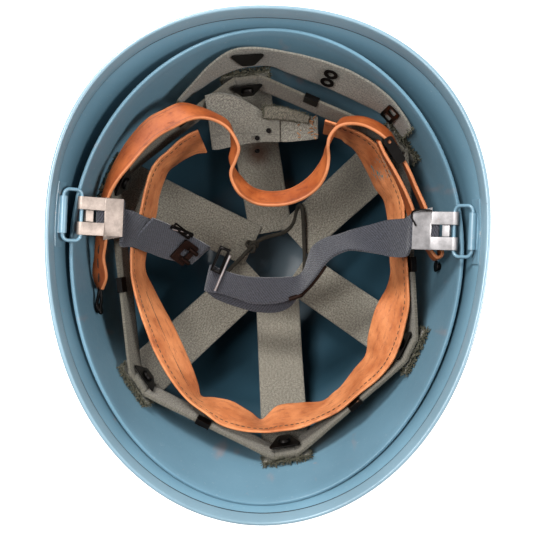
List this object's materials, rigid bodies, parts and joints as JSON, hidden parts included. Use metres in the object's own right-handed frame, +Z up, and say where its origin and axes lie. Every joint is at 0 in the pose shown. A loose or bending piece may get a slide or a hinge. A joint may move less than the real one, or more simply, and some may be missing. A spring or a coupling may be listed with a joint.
{
  "type": "steel pot helmet",
  "caption": "Pressed steel helmet shell with a nested liner, webbing crown suspension, leather headband, leather strap and clipped webbing chin strap, resting on its crown.",
  "frame": {"origin": "centre of the small flat at the crown, on the surface that the helmet rests on", "axes": "+X to the wearer's right, -Y towards the visor, +Z up out of the mouth; the helmet lies crown down"},
  "size_m": [0.2432, 0.2892, 0.1787],
  "materials": {
    "pot_paint": "semi-gloss enamel over pressed steel, lightly worn",
    "edging_paint": "semi-gloss enamel over a folded steel edging",
    "liner_paint": "painted moulded fibre, smooth, with rubbed streaks",
    "bail_paint": "painted wire and folded sheet, worn bright at the corners",
    "clip_steel": "worn, faintly stained sheet steel",
    "black_metal": "blackened sheet metal, rubbed at the edges",
    "brown_brass": "brass gone brown",
    "bright_wire": "plated wire, dark with bright wear",
    "olive_webbing": "herringbone cotton webbing",
    "dark_webbing": "darkened cotton webbing",
    "slate_webbing": "twill cotton webbing",
    "olive_lace": "woven lace",
    "tan_leather": "vegetable-tanned leather",
    "band_leather": "thin stitched leather"
  },
  "bodies": {
    "root": {"pot_shell": "pot_paint", "rim_edging": "edging_paint", "liner_shell": "liner_paint", "suspension_rivets": "black_metal", "a_washers": "black_metal", "headband_ring": "dark_webbing", "crown_lace": "olive_lace", "sweatband": "band_leather", "headband_strap": "olive_webbing", "headband_tab": "olive_webbing", "headband_loop": "dark_webbing", "nape_strap": "olive_webbing", "liner_chinstrap": "tan_leather", "left_bail_bracket": "bail_paint", "right_bail_bracket": "bail_paint", "headband_clips": "black_metal", "headband_rivets": "black_metal", "nape_washer": "black_metal", "nape_eyelets": "black_metal", "nape_buckle": "black_metal", "garter_studs": "black_metal", "leather_slider": "black_metal", "crown_arm_back": "olive_webbing", "crown_arm_back_left": "olive_webbing", "crown_arm_front_left": "olive_webbing", "crown_arm_front": "olive_webbing", "crown_arm_front_right": "olive_webbing", "crown_arm_back_right": "olive_webbing"},
    "left_bail": {"left_bail": "bail_paint"},
    "left_clip": {"left_strap_clip": "clip_steel", "left_strap_webbing": "slate_webbing", "strap_hook": "brown_brass", "strap_slide": "black_metal"},
    "right_bail": {"right_bail": "bail_paint"},
    "right_clip": {"right_strap_clip": "clip_steel", "right_strap_webbing": "slate_webbing", "strap_buckle": "bright_wire", "strap_tip": "brown_brass"}
  },
  "joints": [
    {"name": "left_bail_swing", "type": "hinge", "parent": "root", "child": "left_bail", "pos_m": [-0.1132, 0.0236, 0.1685], "axis": [0, -1, 0], "range_deg": [0, 125]},
    {"name": "left_clip_turn", "type": "hinge", "parent": "left_bail", "child": "left_clip", "pos_m": [-0.10443, 0.0236, 0.16153], "axis": [0, -1, 0], "range_deg": [0, 65]},
    {"name": "right_bail_swing", "type": "hinge", "parent": "root", "child": "right_bail", "pos_m": [0.1132, 0.0236, 0.1685], "axis": [0, 1, 0], "range_deg": [0, 125]},
    {"name": "right_clip_turn", "type": "hinge", "parent": "right_bail", "child": "right_clip", "pos_m": [0.10443, 0.0236, 0.16153], "axis": [0, 1, 0], "range_deg": [0, 65]}
  ]
}
